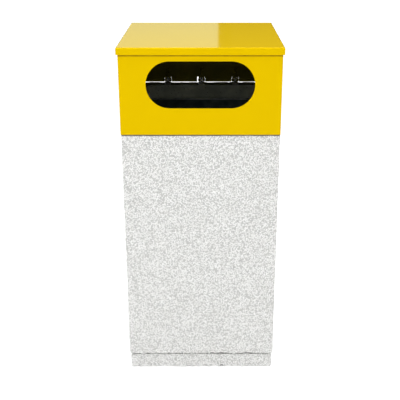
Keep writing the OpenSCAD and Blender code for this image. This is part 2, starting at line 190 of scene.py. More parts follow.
def cast_concrete(graph, moisture_and_shade=0):
    """Plain concrete of the body's inside and collar, smooth from the mould and stained; a share of
    painted shade can darken it.
    """
    fine = graph.noise(1.2 * MM, detail=4, roughness=0.7)
    cloud = graph.noise(70 * MM, detail=5, roughness=0.6)
    pit = 1 - graph.cells(9 * MM).above(0.10, 0.08)
    grey = graph.mix(cloud.above(0.3, 0.4), (0.52, 0.56, 0.53), (0.74, 0.78, 0.73))
    grey = graph.mix(fine.above(0.5, 0.3) * 0.3, grey, (0.25, 0.25, 0.24))
    grey = graph.mix(pit * 0.6, grey, (0.05, 0.05, 0.05))
    # Painted shade: where the hood shades the collar and shoulder, the concrete is darkened to a
    # dark grey.
    if moisture_and_shade:
        grey = graph.mix(moisture_and_shade + fine * 0.1, grey, (0.10, 0.115, 0.115))
    return {
        "Base Color": grey,
        "Roughness": 0.85 + fine * 0.1,
        "Normal": graph.bump(fine * 0.5 - pit, 0.8 * MM, 0.6),
    }


def mortar(graph):
    """Dark weathered joint mortar, also laid on the plinth's broken chips as painted shade."""
    grain = graph.noise(1.5 * MM, detail=4, roughness=0.8)
    moisture_and_shade = graph.noise(25 * MM, detail=3)
    grey = graph.mix(moisture_and_shade.above(0.4, 0.3), (0.05, 0.048, 0.043), (0.16, 0.155, 0.14))
    grey = graph.mix(grain.above(0.5, 0.2) * 0.5, grey, (0.24, 0.235, 0.22))
    return {
        "Base Color": grey,
        "Roughness": 0.9 + grain * 0.08,
        "Normal": graph.bump(grain, 1.5 * MM, 0.9),
    }


def yellow_coat(graph):
    """Gloss yellow powder coat with a faint orange peel and a little dust in it."""
    peel = graph.noise(3.0 * MM, detail=1, roughness=0.4)
    cloud = graph.noise(90 * MM, detail=4, roughness=0.55)
    speck = (1 - graph.cells(7 * MM).above(0.035, 0.02)) * cloud.above(0.5, 0.2)
    yellow = graph.mix(cloud, (0.775, 0.515, 0.0004), (0.80, 0.535, 0.0008))
    yellow = graph.mix(speck * 0.5, yellow, (0.45, 0.26, 0.01))
    return {
        "Base Color": yellow,
        "Roughness": 0.045 + cloud * 0.04,
        "Specular Tint": (1, 0.78, 0.03, 1),
        "Normal": graph.bump(peel, 0.03 * MM, 0.2),
    }


def hood_yellow_painted_shade(graph):
    """The yellow coat with a painted shadow under the lid's rim and painted shade along the lower
    edge.
    """
    coat = yellow_coat(graph)
    height = graph.node("ShaderNodeSeparateXYZ", {}, {"Vector": graph.place()}, out=2)
    shade_unevenness = graph.noise(14 * MM, detail=3)
    # Painted shadow: a brown band just under the lid's rim.
    share = height.above(LID_EDGE_Z - 6 * MM, 3 * MM) * (0.4 + shade_unevenness * 0.5)
    # Painted shade: a brown line along the sheet's lower edge.
    foot = (1 - height.above(HOOD_FOOT_Z + 0.4 * MM, 1.2 * MM)) * (0.3 + shade_unevenness * 0.6)
    coat["Base Color"] = graph.mix(share, coat["Base Color"], (0.30, 0.15, 0.01))
    coat["Base Color"] = graph.mix(foot, coat["Base Color"], (0.30, 0.13, 0.02))
    return coat


def hood_inside_painted_shade(graph):
    """The same coat inside the hood, given as a mottled dark olive: painted shade for the dim
    inside.
    """
    # Painted shade: the yellow inside the hood is darkened to olive.
    shade_mottle = graph.noise(35 * MM, detail=5, roughness=0.65)
    fine = graph.noise(2.0 * MM, detail=3)
    olive = graph.mix(shade_mottle.above(0.3, 0.4), (0.195, 0.172, 0.004), (0.245, 0.212, 0.006))
    olive = graph.mix(fine.above(0.55, 0.2) * 0.3, olive, (0.09, 0.08, 0.006))
    return {
        "Base Color": olive,
        "Roughness": 0.55 + shade_mottle * 0.3,
        "Normal": graph.bump(fine, 0.1 * MM, 0.5),
    }


def rivet_coat(graph):
    """Yellow on the rivets' heads outside the rear panel, and on those inside the dark olive of
    painted shade, as inside the hood.
    """
    outside = yellow_coat(graph)
    depth = graph.node("ShaderNodeSeparateXYZ", {}, {"Vector": graph.place()}, out=1)
    share = depth.above(PANEL_Y - 0.5 * MM, 0.2 * MM)
    # Painted shade: the heads inside the panel take a dark olive.
    outside["Base Color"] = graph.mix(share, (0.15, 0.13, 0.005), outside["Base Color"])
    outside["Roughness"] = 0.6 - share * 0.5
    return outside


def galvanised(graph):
    """Hot-dip zinc with its crystal spangle, dulled to grey."""
    spangle = graph.node("ShaderNodeSeparateColor", {}, {"Color": graph.cells(11 * MM, out=1)})
    cloud = graph.noise(60 * MM, detail=4, roughness=0.6)
    fine = graph.noise(0.9 * MM, detail=2)
    zinc = graph.mix(spangle, (0.30, 0.32, 0.335), (0.44, 0.46, 0.475))
    zinc = graph.mix(cloud.above(0.45, 0.3) * 0.5, zinc, (0.25, 0.26, 0.265))
    return {
        "Base Color": zinc,
        "Metallic": 0.85 - cloud * 0.25,
        "Roughness": 0.34 + spangle * 0.14 + cloud * 0.12,
        "Normal": graph.bump(spangle * 0.4 + fine, 0.06 * MM, 0.5),
    }


def stained_zinc(graph):
    """The liner's inside, dark with dried spills and soot."""
    stain = graph.noise(45 * MM, detail=5, roughness=0.65)
    fine = graph.noise(1.5 * MM, detail=3)
    grey = graph.mix(stain.above(0.35, 0.35), (0.05, 0.085, 0.088), (0.12, 0.17, 0.175))
    grey = graph.mix(fine.above(0.55, 0.25) * 0.4, grey, (0.015, 0.02, 0.02))
    return {
        "Base Color": grey,
        "Metallic": 0.3 * stain,
        "Roughness": 0.6 + stain * 0.3,
        "Normal": graph.bump(fine, 0.1 * MM, 0.5),
    }


def zinc_plate(graph):
    """Bright zinc plate on small steel parts, with fine tool lines."""
    lines = graph.noise(0.6 * MM, detail=2)
    dull = graph.noise(8 * MM, detail=4, roughness=0.65)
    steel = graph.mix(dull.above(0.35, 0.4), (0.62, 0.63, 0.63), (0.45, 0.45, 0.44))
    steel = graph.mix(dull.above(0.66, 0.1) * 0.5, steel, (0.30, 0.27, 0.22))
    return {
        "Base Color": steel,
        "Metallic": 0.95 - dull * 0.2,
        "Roughness": 0.24 + dull * 0.22,
        "Normal": graph.bump(lines, 0.04 * MM, 0.5),
    }


def black_rubber(graph):
    """Matt moulded rubber with a dusty bloom."""
    bloom = graph.noise(6 * MM, detail=4, roughness=0.7)
    grain = graph.noise(0.7 * MM, detail=2)
    black = graph.mix(bloom.above(0.45, 0.3) * 0.6, (0.018, 0.018, 0.018), (0.07, 0.068, 0.064))
    return {
        "Base Color": black,
        "Roughness": 0.7 + bloom * 0.2,
        "Normal": graph.bump(grain, 0.1 * MM, 0.5),
    }


def grey_nylon(graph):
    """Moulded grey nylon of the anchor plugs."""
    flow = graph.noise(5 * MM, detail=3)
    grey = graph.mix(flow, (0.30, 0.31, 0.32), (0.40, 0.41, 0.42))
    return {
        "Base Color": grey,
        "Roughness": 0.45 + flow * 0.2,
        "Normal": graph.bump(flow, 0.1 * MM, 0.3),
    }


AGGREGATE = finish_material("exposed_aggregate", exposed_aggregate)
CAST = finish_material("cast_concrete", cast_concrete)
# Painted shade: the collar and shoulder concrete, darkened where the hood shades it.
COLLAR_PAINTED_SHADE = finish_material("collar_concrete_painted_shade", lambda graph: cast_concrete(graph, 0.6))
MORTAR_AND_PAINTED_SHADE = finish_material("joint_mortar", mortar)
YELLOW = finish_material("yellow_coat", yellow_coat)
HOOD_YELLOW_PAINTED_SHADE = finish_material("hood_yellow_painted_shade", hood_yellow_painted_shade)
# Painted shade: the dark olive of the hood's inside, its hinge leaves and rest brackets.
INNER_PAINTED_SHADE = finish_material("hood_inside_painted_shade", hood_inside_painted_shade)
RIVET = finish_material("rivet_coat", rivet_coat)
GALVANISED = finish_material("galvanised_sheet", galvanised)
STAINED = finish_material("stained_zinc", stained_zinc)
ZINC = finish_material("zinc_plate", zinc_plate)
RUBBER = finish_material("black_rubber", black_rubber)
NYLON = finish_material("grey_nylon", grey_nylon)


# ---------------------------------------------------------------- noise on points


def lattice_random(cell, seed):
    """A repeatable number from 0 to 1 for each whole-number cell, an array of (n, 3)."""
    c = cell.astype(np.int64)
    h = c[:, 0] * 374761393 + c[:, 1] * 668265263 + c[:, 2] * 1440662683 + seed * 974711
    h &= 0xFFFFFFFF
    h = ((h ^ (h >> 13)) * 1274126177) & 0xFFFFFFFF
    h = ((h ^ (h >> 15)) * 2246822519) & 0xFFFFFFFF
    return ((h ^ (h >> 16)) & 0xFFFFFF) / 0xFFFFFF


def drift(points, size, seed):
    """Smooth noise from 0 to 1 whose lumps are about size across."""
    p = points / size
    base = np.floor(p)
    t = p - base
    t = t * t * (3 - 2 * t)
    total = np.zeros(len(points))
    for corner in np.ndindex(2, 2, 2):
        weight = np.prod(np.where(corner, t, 1 - t), axis=1)
        total += weight * lattice_random(base + corner, seed)
    return total


def pebbles(points, size, seed):
    """Distance to the nearest of a scatter of stones, in units of size, and its own number."""
    p = points / size
    base = np.floor(p)
    nearest = np.full(len(points), 9.0)
    number = np.zeros(len(points))
    for step in np.ndindex(3, 3, 3):
        cell = base + np.array(step) - 1
        centre = np.stack([lattice_random(cell, seed + k) for k in range(3)], axis=1)
        distance = np.linalg.norm(cell + centre - p, axis=1)
        closer = distance < nearest
        nearest = np.where(closer, distance, nearest)
        number = np.where(closer, lattice_random(cell, seed + 7), number)
    return nearest, number


# ---------------------------------------------------------------- mesh building


def rounded_loop(half_w, half_d, radius, side_n, corner_n=4):
    """Points round a rectangle with round corners, anticlockwise, and their outward normals."""
    points, normals = [], []
    for k in range(4):
        turn = k * math.pi / 2
        along, across = (half_d, half_w) if k % 2 == 0 else (half_w, half_d)
        ahead = np.array([-math.sin(turn), math.cos(turn)])
        out = np.array([math.cos(turn), math.sin(turn)])
        for i in range(side_n):
            s = -(along - radius) + 2 * (along - radius) * i / side_n
            points.append(out * across + ahead * s)
            normals.append(out)
        centre = out * (across - radius) + ahead * (along - radius)
        for i in range(corner_n):
            a = turn + math.pi / 2 * i / corner_n
            normal = np.array([math.cos(a), math.sin(a)])
            points.append(centre + normal * radius)
            normals.append(normal)
    return np.array(points), np.array(normals)


def make_object(name, points, faces, materials):
    """A mesh object from points and faces, with its materials in order."""
    mesh = bpy.data.meshes.new(name)
    mesh.from_pydata([tuple(p) for p in points], [], [tuple(f) for f in faces])
    for material in materials:
        mesh.materials.append(material)
    made = bpy.data.objects.new(name, mesh)
    bpy.context.scene.collection.objects.link(made)
    return made


def ring_faces(rings, n, closed):
    """Quads between successive rings of n points; closed joins the last ring to the first."""
    faces = []
    for r in range(rings if closed else rings - 1):
        a, b = r * n, ((r + 1) % rings) * n
        for i in range(n):
            j = (i + 1) % n
            faces.append((a + i, a + j, b + j, b + i))
    return faces


def shade(made, angle=35):
    """Smooth shading, with sharp edges where faces meet at more than angle degrees."""
    made.data.shade_smooth()
    made.data.set_sharp_from_angle(angle=math.radians(angle))


def apply_modifiers(made):
    """Bakes the modifiers of made into its mesh."""
    view = bpy.context.evaluated_depsgraph_get()
    mesh = bpy.data.meshes.new_from_object(made.evaluated_get(view), depsgraph=view)
    made.modifiers.clear()
    old = made.data
    made.data = mesh
    bpy.data.meshes.remove(old)


def thicken(made, thickness, edge, inner_material=0):
    """Gives a surface its sheet thickness behind it and rounds the cut edges."""
    solid = made.modifiers.new("sheet", "SOLIDIFY")
    solid.thickness = thickness
    solid.offset = -1
    solid.use_even_offset = True
    solid.material_offset = inner_material
    bevel = made.modifiers.new("edges", "BEVEL")
    bevel.width = edge
    bevel.segments = 3
    bevel.limit_method = "ANGLE"
    bevel.angle_limit = math.radians(50)
    bevel.harden_normals = True
    apply_modifiers(made)
    shade(made)


def weld(made, distance=0.02 * MM):
    """Joins the points of made that lie together."""
    joiner = made.modifiers.new("weld", "WELD")
    joiner.merge_threshold = distance
    apply_modifiers(made)


def adopt(made, body, slot, *nodes):
    """made rides on a body and stands for these nodes, which are hidden. slot is not used."""
    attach(made, body)
    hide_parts(*nodes)


# ---------------------------------------------------------------- concrete


def stone_relief(points, seed):
    """How far washed chips stand out of the face at each point, from -1 to about 0.5."""
    near, number = pebbles(points, 5.2 * MM, seed)
    small, _ = pebbles(points, 3.0 * MM, seed + 20)
    big = np.sqrt(np.clip(1 - (near / 0.85) ** 2, 0, 1)) * (0.5 + 0.5 * number)
    little = np.sqrt(np.clip(1 - (small / 0.9) ** 2, 0, 1))
    return big * 1.0 + little * 0.5 - 1.0


def cast_block(stations, side_n, relief_depth, seed, chip_depth):
    """A hollow block of concrete: rings of one outline after another, closed into a skin.

    A station is (half width, half depth, corner radius, height, share of relief, share of chips).
    """
    rings = []
    for half_w, half_d, radius, z, relief, chips in stations:
        flat, normal = rounded_loop(half_w, half_d, radius, side_n)
        points = np.column_stack([flat, np.full(len(flat), z)])
        out = np.column_stack([normal, np.zeros(len(flat))])
        if relief or chips:
            depth = stone_relief(points, seed) * relief_depth * relief
            corner = np.clip(1 - (half_w + half_d - np.abs(flat).sum(1)) / (9 * MM), 0, 1)
            wear = np.clip(drift(points, 9 * MM, seed + 3) - 0.52, 0, 1) * 3
            wear += np.clip(drift(points, 28 * MM, seed + 4) - 0.6, 0, 1) * 5
            depth -= wear * chip_depth * np.maximum(corner, chips)
            points = points + out * depth[:, None]
            points[:, 2] += (drift(points, 11 * MM, seed + 5) - 0.5) * 3 * MM * chips
        rings.append(points)
    return np.concatenate(rings), ring_faces(len(rings), len(rings[0]), closed=True)


def heights(low, high, step):
    """Heights from low to high about a step apart, both ends included."""
    return np.linspace(low, high, max(2, round((high - low) / step) + 1))


def edge_share(z, low, high, reach):
    """1 at either end of a height range, falling to 0 within reach of it."""
    return float(np.clip(1 - min(z - low, high - z) / reach, 0, 1))


low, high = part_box("concrete_body")
plinth_low, plinth_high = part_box("base_plinth")
mortar_low, mortar_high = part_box("mortar_bed")
hood_low, hood_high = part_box("hood_wrap")
liner_low, liner_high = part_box("liner_shell")
rear_low, rear_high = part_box("rear_panel")

BODY_W, BODY_D = high.x, high.y
SHOULDER_Z = hood_low.z - 3 * MM
COLLAR_W, COLLAR_D = BODY_W - 3 * MM, BODY_D - 3 * MM
WALL = 45 * MM
CAVITY_W, CAVITY_D = BODY_W - WALL, BODY_D - WALL
CAVITY_CORNER = 15 * MM
FLOOR_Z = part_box("liner_pads")[0].z
BODY_DRAIN = 20 * MM
PLINTH_DRAIN = 15 * MM
ARRIS = 3 * MM
STONE_RELIEF = 1.1 * MM
STEP = 3.4 * MM
SIDE_N = round(2 * BODY_W / STEP)

# The rear sheet's edge hangs this far below the panel's box, over the raised edge of the collar.
# The collar's top stays this far below the same box, so that the sheet clears it as it swings.
REAR_EDGE_DROP = 0.65 * MM
COLLAR_TOP_DROP = 0.85 * MM


def body_stations():
    """The outer face from the bottom up, the shoulder, the collar, then down inside to the drain.

    Each station ends with the finish of the strip above it: 0 washed stone, 1 cast and 2 cast
    darkened by painted shade.
    """
    rows = []
    under = ((BODY_DRAIN, 0), (60 * MM, 0), (BODY_W - 25 * MM, 0), (BODY_W - 6 * MM, 0.3))
    for half, share in under:
        rows.append((half, half, min(half, ARRIS * 4) * 0.999, low.z, 0, share, 1))
    rows.append((BODY_W - 1.5 * MM, BODY_D - 1.5 * MM, ARRIS, low.z, 1, 0.8, 0))
    for z in heights(low.z, SHOULDER_Z - 0.3 * MM, STEP)[1:]:
        edge = edge_share(z, low.z, SHOULDER_Z, 6 * MM)
        rows.append((BODY_W, BODY_D, ARRIS, z, 1, edge * 0.6, 0))
    rows.append((BODY_W - 0.8 * MM, BODY_D - 0.8 * MM, ARRIS, SHOULDER_Z, 0.5, 0.4, 2))
    for z in heights(SHOULDER_Z, high.z - 0.5 * MM, 7 * MM):
        rows.append((COLLAR_W - 0.5 * MM, COLLAR_D - 0.5 * MM, ARRIS, z, 0.25, 0, 2))
    rows.append((COLLAR_W - 1 * MM, COLLAR_D - 1 * MM, ARRIS, high.z, 0, 0.5, 2))
    for inset in (10 * MM, 20 * MM, 30 * MM, 39 * MM):
        rows.append((COLLAR_W - inset, COLLAR_D - inset, ARRIS, high.z, 0, 0, 2))
    rows.append((CAVITY_W + 1 * MM, CAVITY_D + 1 * MM, CAVITY_CORNER, high.z, 0, 0, 1))
    for z in heights(FLOOR_Z + 6 * MM, high.z - 1.5 * MM, 20 * MM)[::-1]:
        rows.append((CAVITY_W + 0.3 * MM, CAVITY_D + 0.3 * MM, CAVITY_CORNER, z, 0.3, 0, 1))
    for half in (CAVITY_W - 3 * MM, 110 * MM, 60 * MM, BODY_DRAIN):
        rows.append((half, half, min(half * 0.999, CAVITY_CORNER), FLOOR_Z, 0, 0, 1))
    return rows


def build_body():
    """The concrete body, with an uneven rear edge on its collar and a wandering lower edge."""
    rows = body_stations()
    stations = [row[:6] for row in rows]
    points, faces = cast_block(stations, SIDE_N, STONE_RELIEF, 5, 2.2 * MM)
    proud = np.interp(points[:, 0], [-0.2, -0.1, 0, 0.05, 0.1], [0.8, 0.85, 0.5, 0.8, 1.1])
    proud += (drift(points, 14 * MM, 51) - 0.5) * 0.25
    rear = points[:, 1] > COLLAR_D - 5 * MM
    edge = rear & (points[:, 2] > high.z - 0.1 * MM)
    points[:, 2] += np.where(edge, proud * MM, 0)
    points[rear, 2] = np.minimum(points[rear, 2], rear_low.z - COLLAR_TOP_DROP)
    wander = drift(points, 26 * MM, 52) * 1.4 * MM + drift(points, 8 * MM, 53) * 0.6 * MM
    outer = np.abs(points[:, :2]).max(1) > 0.2
    foot = np.clip(1 - (points[:, 2] - low.z) / (12 * MM), 0, 1) * outer
    points[:, 2] += foot * wander
    made = make_object("concrete_shell", points, faces, [AGGREGATE, CAST, COLLAR_PAINTED_SHADE])
    finishes = np.repeat([row[6] for row in rows], len(faces) // len(rows))
    made.data.polygons.foreach_set("material_index", finishes)
    shade(made, 80)
    adopt(made, "bin", "concrete", "concrete_body")


def build_plinth():
    """The plinth slab, with three places where its lower front edge has broken away."""
    half_w, half_d = plinth_high.x, plinth_high.y
    rows = []
    for half in (PLINTH_DRAIN, 60 * MM, half_w - 25 * MM, half_w - 6 * MM):
        rows.append((half, half, min(half, ARRIS * 4) * 0.999, plinth_low.z, 0, 0))
    for z in heights(plinth_low.z, plinth_high.z, STEP):
        edge = edge_share(z, plinth_low.z, plinth_high.z, 9 * MM)
        rows.append((half_w, half_d, ARRIS, z, 1, edge))
    rows.append((half_w - 2 * MM, half_d - 2 * MM, ARRIS, plinth_high.z, 0, 0.5))
    for half in (half_w - 12 * MM, 110 * MM, 50 * MM, PLINTH_DRAIN):
        rows.append((half, half, min(half * 0.999, ARRIS * 4), plinth_high.z, 0, 0))
    points, faces = cast_block(rows, SIDE_N, STONE_RELIEF, 31, 3.2 * MM)
    broken = np.zeros(len(points))
    for x, reach in ((-0.128, 5 * MM), (-0.040, 6 * MM), (0.063, 9 * MM)):
        away = np.linalg.norm(points - (x, -half_d, plinth_low.z), axis=1)
        broken = np.maximum(broken, np.clip(1 - away / reach, 0, 1))
    points[:, 1] += broken * 7 * MM
    points[:, 2] = np.clip(points[:, 2], plinth_low.z, plinth_high.z)
    made = make_object("plinth_slab", points, faces, [AGGREGATE, MORTAR_AND_PAINTED_SHADE])
    # Painted shade: the faces in the broken chips take the dark mortar finish.
    for face in made.data.polygons:
        if broken[list(face.vertices)].mean() > 0.25:
            face.material_index = 1
    shade(made, 80)
    adopt(made, "bin", "concrete", "base_plinth")


def build_mortar():
    """A raked joint whose face wanders in and out, with smears that reach the plinth's face."""
    half_w, half_d = mortar_high.x, mortar_high.y
    rings = []
    flat, normal = rounded_loop(half_w, half_d, ARRIS, SIDE_N)
    n = len(flat)
    level = np.column_stack([flat, np.full(n, mortar_low.z)])
    smear = np.clip((drift(level, 11 * MM, 77) - 0.66) * 50 * MM, 0, 4.6 * MM)
    out = np.minimum(smear + drift(level, 4 * MM, 78) * 1.5 * MM, 5 * MM)
    for z in (mortar_low.z, (mortar_low.z + mortar_high.z) / 2, mortar_high.z):
        points = np.column_stack([flat + normal * out[:, None], np.full(n, z)])
        rings.append(points)
    for z in (mortar_high.z, mortar_low.z):
        inner, _ = rounded_loop(BODY_DRAIN, BODY_DRAIN, BODY_DRAIN - 0.1 * MM, SIDE_N)
        rings.append(np.column_stack([inner, np.full(n, z)]))
    faces = ring_faces(len(rings), n, closed=True)
    made = make_object("joint_mortar", np.concatenate(rings), faces, [MORTAR_AND_PAINTED_SHADE, AGGREGATE])
    pale = np.tile((smear > 3 * MM).astype(int), len(rings))
    made.data.polygons.foreach_set("material_index", pale)
    shade(made)
    adopt(made, "bin", "mortar", "mortar_bed")


# ---------------------------------------------------------------- hood and lid


def bend_points(start, corner, end, radius, n=6):
    """Points from start to end round a right-angled corner of that radius, in two dimensions."""
    start, corner, end = (np.array(p, float) for p in (start, corner, end))
    u = (start - corner) / np.linalg.norm(start - corner)
    v = (end - corner) / np.linalg.norm(end - corner)
    centre = corner + (u + v) * radius
    turn = [centre - (v * math.cos(a) + u * math.sin(a)) * radius
            for a in np.linspace(0, math.pi / 2, n + 1)]
    return [start, *turn, end]


def oil_can(points, depth, seed):
    """How far a thin sheet sags in at each point."""
    return (drift(points, 130 * MM, seed) * 0.7 + drift(points, 60 * MM, seed + 1) * 0.3) * depth


class Patch:
    """Points and quads gathered for one surface."""

    def __init__(self):
        self.points = []
        self.faces = []

    def grid(self, rows):
        """Quads over a grid of points, row by row."""
        start = len(self.points)
        wide = len(rows[0])
        for row in rows:
            self.points.extend(row)
        for r in range(len(rows) - 1):
            for i in range(wide - 1):
                a = start + r * wide + i
                self.faces.append((a, a + 1, a + wide + 1, a + wide))

    def ring_grid(self, rings):
        """Quads between closed rings of points."""
        start = len(self.points)
        n = len(rings[0])
        for ring in rings:
            self.points.extend(ring)
        self.faces.extend([tuple(start + k for k in f) for f in ring_faces(len(rings), n, False)])


lid_low, lid_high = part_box("lid_cap")
BEND = 3 * MM
FLANGE = 18 * MM
FRONT_Y = hood_low.y
HOOD_W = hood_high.x
HOOD_TOP = hood_high.z
MOUTH_W, MOUTH_H = 295 * MM, 129 * MM
MOUTH_TOP = lid_high.z - 37 * MM
MOUTH_Z = MOUTH_TOP - MOUTH_H / 2


def mouth_edge(direction):
    """Where a ray from the mouth's middle meets its outline, a rectangle with half-round ends."""
    x, z = direction
    radius = MOUTH_H / 2
    straight = MOUTH_W / 2 - radius
    if abs(z) > 1e-9 and abs(x) * radius / abs(z) <= straight:
        return np.array([x, z]) * radius / abs(z)
    side = math.copysign(straight, x)
    length_sq = x * x + z * z
    along = x * side / length_sq
    reach = along + math.sqrt(along * along - (side * side - radius * radius) / length_sq)
    return np.array([x, z]) * reach


def hood_front(patch, xs, zs):
    """The front sheet between its bends, in rings that run from its border to the mouth."""
    border = [(x, zs[0]) for x in xs[:-1]] + [(xs[-1], z) for z in zs[:-1]]
    border += [(x, zs[-1]) for x in xs[:0:-1]] + [(xs[0], z) for z in zs[:0:-1]]
    rings = []
    for share in (0, 0.12, 0.3, 0.5, 0.68, 0.82, 0.92, 0.97, 1):
        ring = []
        for x, z in border:
            inner = mouth_edge((x, z - MOUTH_Z)) + (0, MOUTH_Z)
            px, pz = np.array([x, z]) * (1 - share) + inner * share
            ring.append((px, FRONT_Y, pz))
        rings.append(ring)
    patch.ring_grid(rings)


def build_hood():
    """Front and sides in one sheet, with its top flanges and rear corner flanges."""
    patch = Patch()
    inner = HOOD_W - BEND
    rear = hood_high.y
    wall_top = HOOD_TOP - BEND
    zs = heights(hood_low.z, wall_top, 9 * MM)
    xs = np.linspace(-inner, inner, 49)
    hood_front(patch, xs, zs)
    split = int(np.searchsorted(zs, rear_low.z))
    zs_rear = np.concatenate([[rear_low.z], zs[split:]])
    for s in (-1, 1):
        front = bend_points((s * inner, FRONT_Y), (s * HOOD_W, FRONT_Y),
                            (s * HOOD_W, FRONT_Y + BEND), BEND)[1:-1]
        side = [(s * HOOD_W, y) for y in np.linspace(FRONT_Y + BEND, rear - BEND, 40)][1:-1]
        back = bend_points((s * HOOD_W, rear - BEND), (s * HOOD_W, rear),
                           (s * inner, rear), BEND)[1:-1]
        plan = front + side + [(s * HOOD_W, rear - BEND)]
        patch.grid([[(x, y, z) for x, y in plan] for z in zs])
        flange = back + [(s * (HOOD_W - SHEET - FLANGE), rear)]
        patch.grid([[(x, y, z) for x, y in flange] for z in zs_rear])
        top = bend_points((HOOD_W, wall_top), (HOOD_W, HOOD_TOP),
                          (HOOD_W - SHEET - FLANGE, HOOD_TOP), BEND)[1:]
        ys = [FRONT_Y + BEND + FLANGE * 1.1] + [y for _, y in side if y > FRONT_Y + FLANGE * 1.6]
        ys = [y for y in ys if y < rear - FLANGE - BEND]
        patch.grid([[(s * x, y, z) for y in ys] for x, z in top])
    top = bend_points((FRONT_Y, wall_top), (FRONT_Y, HOOD_TOP),
                      (FRONT_Y + SHEET + FLANGE, HOOD_TOP), BEND)[1:]
    patch.grid([[(x, y, z) for x in xs[1:-1]] for y, z in top])
    points = np.array(patch.points)
    sag = oil_can(points, 0.35 * MM, 11)
    edge = np.minimum(HOOD_TOP - points[:, 2], 60 * MM) / (60 * MM)
    front = points[:, 1] < FRONT_Y + 0.1 * MM
    points[:, 1] += np.where(front, sag * edge, 0)
    # Outside: yellow with painted shade under the rim and at the foot. Inside: the dark olive of
    # painted shade.
    made = make_object("hood_sheet", points, patch.faces, [HOOD_YELLOW_PAINTED_SHADE, INNER_PAINTED_SHADE])
    weld(made)
    turn_out(made, Vector((0, 0, (hood_low.z + HOOD_TOP) / 2)))
    thicken(made, SHEET, 0.85 * MM, inner_material=1)
    adopt(made, "hood", "powder_coat", "hood_wrap")


def turn_out(made, centre):
    """Turns every face of made away from a centre point."""
    for face in made.data.polygons:
        if face.normal.dot(face.center - centre) < 0:
            face.flip()
    made.data.update()


def build_rear_panel():
    """Rear sheet with its hinge notches and top flange.

    A cut is (left, right, row of heights that the sheet starts from). A notch reaches past its
    hinge leaf on both sides, and beside an outer leaf its top is lower than over it.
    """
    patch = Patch()
    y = rear_high.y
    past_leaf = 0.4 * MM
    reach = 2 * MM
    cuts = []
    for side, left, first in (("left", 2, 1), ("centre", 4.6, 2), ("right", 2, 1)):
        leaf_low, leaf_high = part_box(f"fixed_leaf_{side}")
        cuts.append((leaf_low.x - left * MM, leaf_low.x - past_leaf, first))
        cuts.append((leaf_low.x - past_leaf, leaf_high.x + past_leaf, 2))
        cuts.append((leaf_high.x + past_leaf, leaf_high.x + reach, 1))
    breaks = sorted(x for cut in cuts for x in cut[:2])
    notch_tops = [rear_low.z + 11.4 * MM, rear_low.z + 16 * MM]
    xs = sorted(set(np.round(np.concatenate(
        [np.linspace(-HOOD_W, HOOD_W, 37), breaks]), 6)))
    xs = [x for i, x in enumerate(xs) if x in np.round(breaks, 6) or
          min(abs(x - b) for b in breaks) > 4 * MM]
    wall_top = HOOD_TOP - BEND
    wall = heights(notch_tops[1], wall_top, 16 * MM)
    zs = [rear_low.z - REAR_EDGE_DROP, notch_tops[0], *wall]
    for i in range(len(xs) - 1):
        middle = (xs[i] + xs[i + 1]) / 2
        first = max((first for left, right, first in cuts if left < middle < right), default=0)
        patch.grid([[(xs[i], y, z), (xs[i + 1], y, z)] for z in zs[first:]])
    top = bend_points((y, wall_top), (y, HOOD_TOP), (rear_low.y, HOOD_TOP), BEND)[1:]
    flange_xs = [x for x in xs if abs(x) < HOOD_W - 4 * MM]
    patch.grid([[(x, py, z) for x in flange_xs] for py, z in top])
    points = np.array(patch.points)
    flat = points[:, 1] > y - 0.1 * MM
    points[:, 1] -= np.where(flat, oil_can(points, 0.3 * MM, 17), 0)
    # The inside takes the dark olive of painted shade.
    made = make_object("rear_sheet", points, patch.faces, [YELLOW, INNER_PAINTED_SHADE])
    weld(made)
    turn_out(made, Vector((0, 0, (rear_low.z + HOOD_TOP) / 2)))
    thicken(made, SHEET, 0.5 * MM, inner_material=1)
    adopt(made, "hood", "powder_coat", "rear_panel")


def build_lid():
    """Flat top rolled over into its rim, in rings from the middle outwards."""
    patch = Patch()
    half_w, half_d = lid_high.x, lid_high.y
    roll = 3.2 * MM
    rings = []
    for share in (0.02, 0.1, 0.2, 0.3, 0.4, 0.5, 0.6, 0.7, 0.8, 0.9, 0.96, 0.99):
        flat, _ = rounded_loop((half_w - roll) * share, (half_d - roll) * share, 0.3 * MM, 36)
        points = np.column_stack([flat, np.full(len(flat), lid_high.z)])
        calm = min(1, (1 - share) / 0.15)
        points[:, 2] -= oil_can(points, 0.05 * MM, 23) * calm
        rings.append(points)
    for a in np.linspace(0, math.pi / 2, 7):
        inset = roll * (1 - math.sin(a))
        flat, _ = rounded_loop(half_w - inset, half_d - inset, max(0.3 * MM, BEND - inset), 36)
        z = lid_high.z - roll * (1 - math.cos(a))
        rings.append(np.column_stack([flat, np.full(len(flat), z)]))
    for z in (lid_high.z - 8 * MM, lid_high.z - 13 * MM, lid_low.z):
        flat, _ = rounded_loop(half_w, half_d, BEND, 36)
        rings.append(np.column_stack([flat, np.full(len(flat), z)]))
    patch.ring_grid([list(map(tuple, ring)) for ring in rings])
    patch.faces.append(tuple(range(len(rings[0]))))
    # The inside takes the dark olive of painted shade.
    made = make_object("lid_sheet", patch.points, patch.faces, [YELLOW, INNER_PAINTED_SHADE])
    turn_out(made, Vector((0, 0, lid_low.z - 0.1)))
    thicken(made, SHEET, 0.5 * MM, inner_material=1)
    adopt(made, "hood", "powder_coat", "lid_cap")


# ---------------------------------------------------------------- liner


